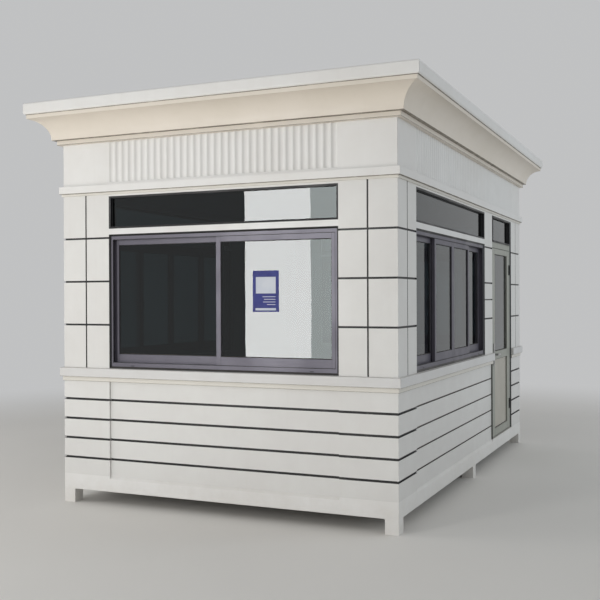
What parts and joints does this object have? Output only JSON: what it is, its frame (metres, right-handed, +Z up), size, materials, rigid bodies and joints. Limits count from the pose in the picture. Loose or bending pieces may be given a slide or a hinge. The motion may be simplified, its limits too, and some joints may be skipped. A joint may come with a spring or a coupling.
{
  "type": "security guard booth",
  "caption": "Prefabricated security guard booth on short legs: boarded lower walls, sliding windows all round, hinged glazed side door, fluted frieze and deep coved cornice.",
  "frame": {"origin": "on the ground, in the middle of the footprint", "axes": "+Z up; the front window faces -Y; the side with the door faces +X"},
  "size_m": [3.24, 4.88, 3.172],
  "materials": {
    "wall_paint": "warm off-white paint, eggshell",
    "moulding_paint": "off-white paint on mouldings, eggshell",
    "base_paint": "off-white enamel on the base frame",
    "floor_sheet": "vinyl floor covering on board",
    "ceiling_sheet": "white ceiling sheet",
    "roof_sheet": "light grey ribbed roof sheet",
    "window_alloy": "mauve-grey powder coat",
    "dark_trim": "black powder coat",
    "tinted_glass": "dark green-blue tinted, reflective",
    "door_alloy": "grey-green powder coat",
    "door_sheet": "beige-grey sheet",
    "bare_alloy": "bare, scuffed",
    "seal": "black seal",
    "handle_steel": "satin",
    "hinge_steel": "black enamel"
  },
  "bodies": {
    "booth": {"base_rail_back": "base_paint", "base_rail_front": "base_paint", "base_rail_left": "base_paint", "base_rail_right": "base_paint", "ceiling_panel": "ceiling_sheet", "corner_post_back_left": "wall_paint", "corner_post_back_right": "wall_paint", "corner_post_front_left": "wall_paint", "corner_post_front_right": "wall_paint", "cornice_back": "moulding_paint", "cornice_front": "moulding_paint", "cornice_left": "moulding_paint", "cornice_right": "moulding_paint", "door_head": "door_alloy", "door_jambs": "door_alloy", "door_stops": "seal", "door_threshold": "bare_alloy", "feet": "base_paint", "floor_joists": "base_paint", "floor_panel": "floor_sheet", "frieze_back": "wall_paint", "frieze_front": "wall_paint", "frieze_left": "wall_paint", "frieze_right": "wall_paint", "hinge_plates": "hinge_steel", "lower_wall_back": "wall_paint", "lower_wall_front": "wall_paint", "lower_wall_left": "wall_paint", "lower_wall_right": "wall_paint", "roof_deck": "roof_sheet", "sill_belt_back": "moulding_paint", "sill_belt_front": "moulding_paint", "sill_belt_left": "moulding_paint", "sill_belt_right": "moulding_paint", "transom_frames": "dark_trim", "transom_rails": "wall_paint", "wall_piers": "wall_paint", "window_frames": "window_alloy", "window_panes": "tinted_glass", "window_sashes": "window_alloy"},
    "door": {"door_leaf": "door_alloy", "door_glass": "tinted_glass", "door_panel": "door_sheet", "door_handle": "handle_steel", "hinge_leaves": "hinge_steel"}
  },
  "joints": [
    {"name": "door_hinge", "type": "hinge", "parent": "booth", "child": "door", "pos_m": [1.3955, 1.6775, 0], "axis": [0, 0, 1], "range_deg": [0, 100]}
  ]
}
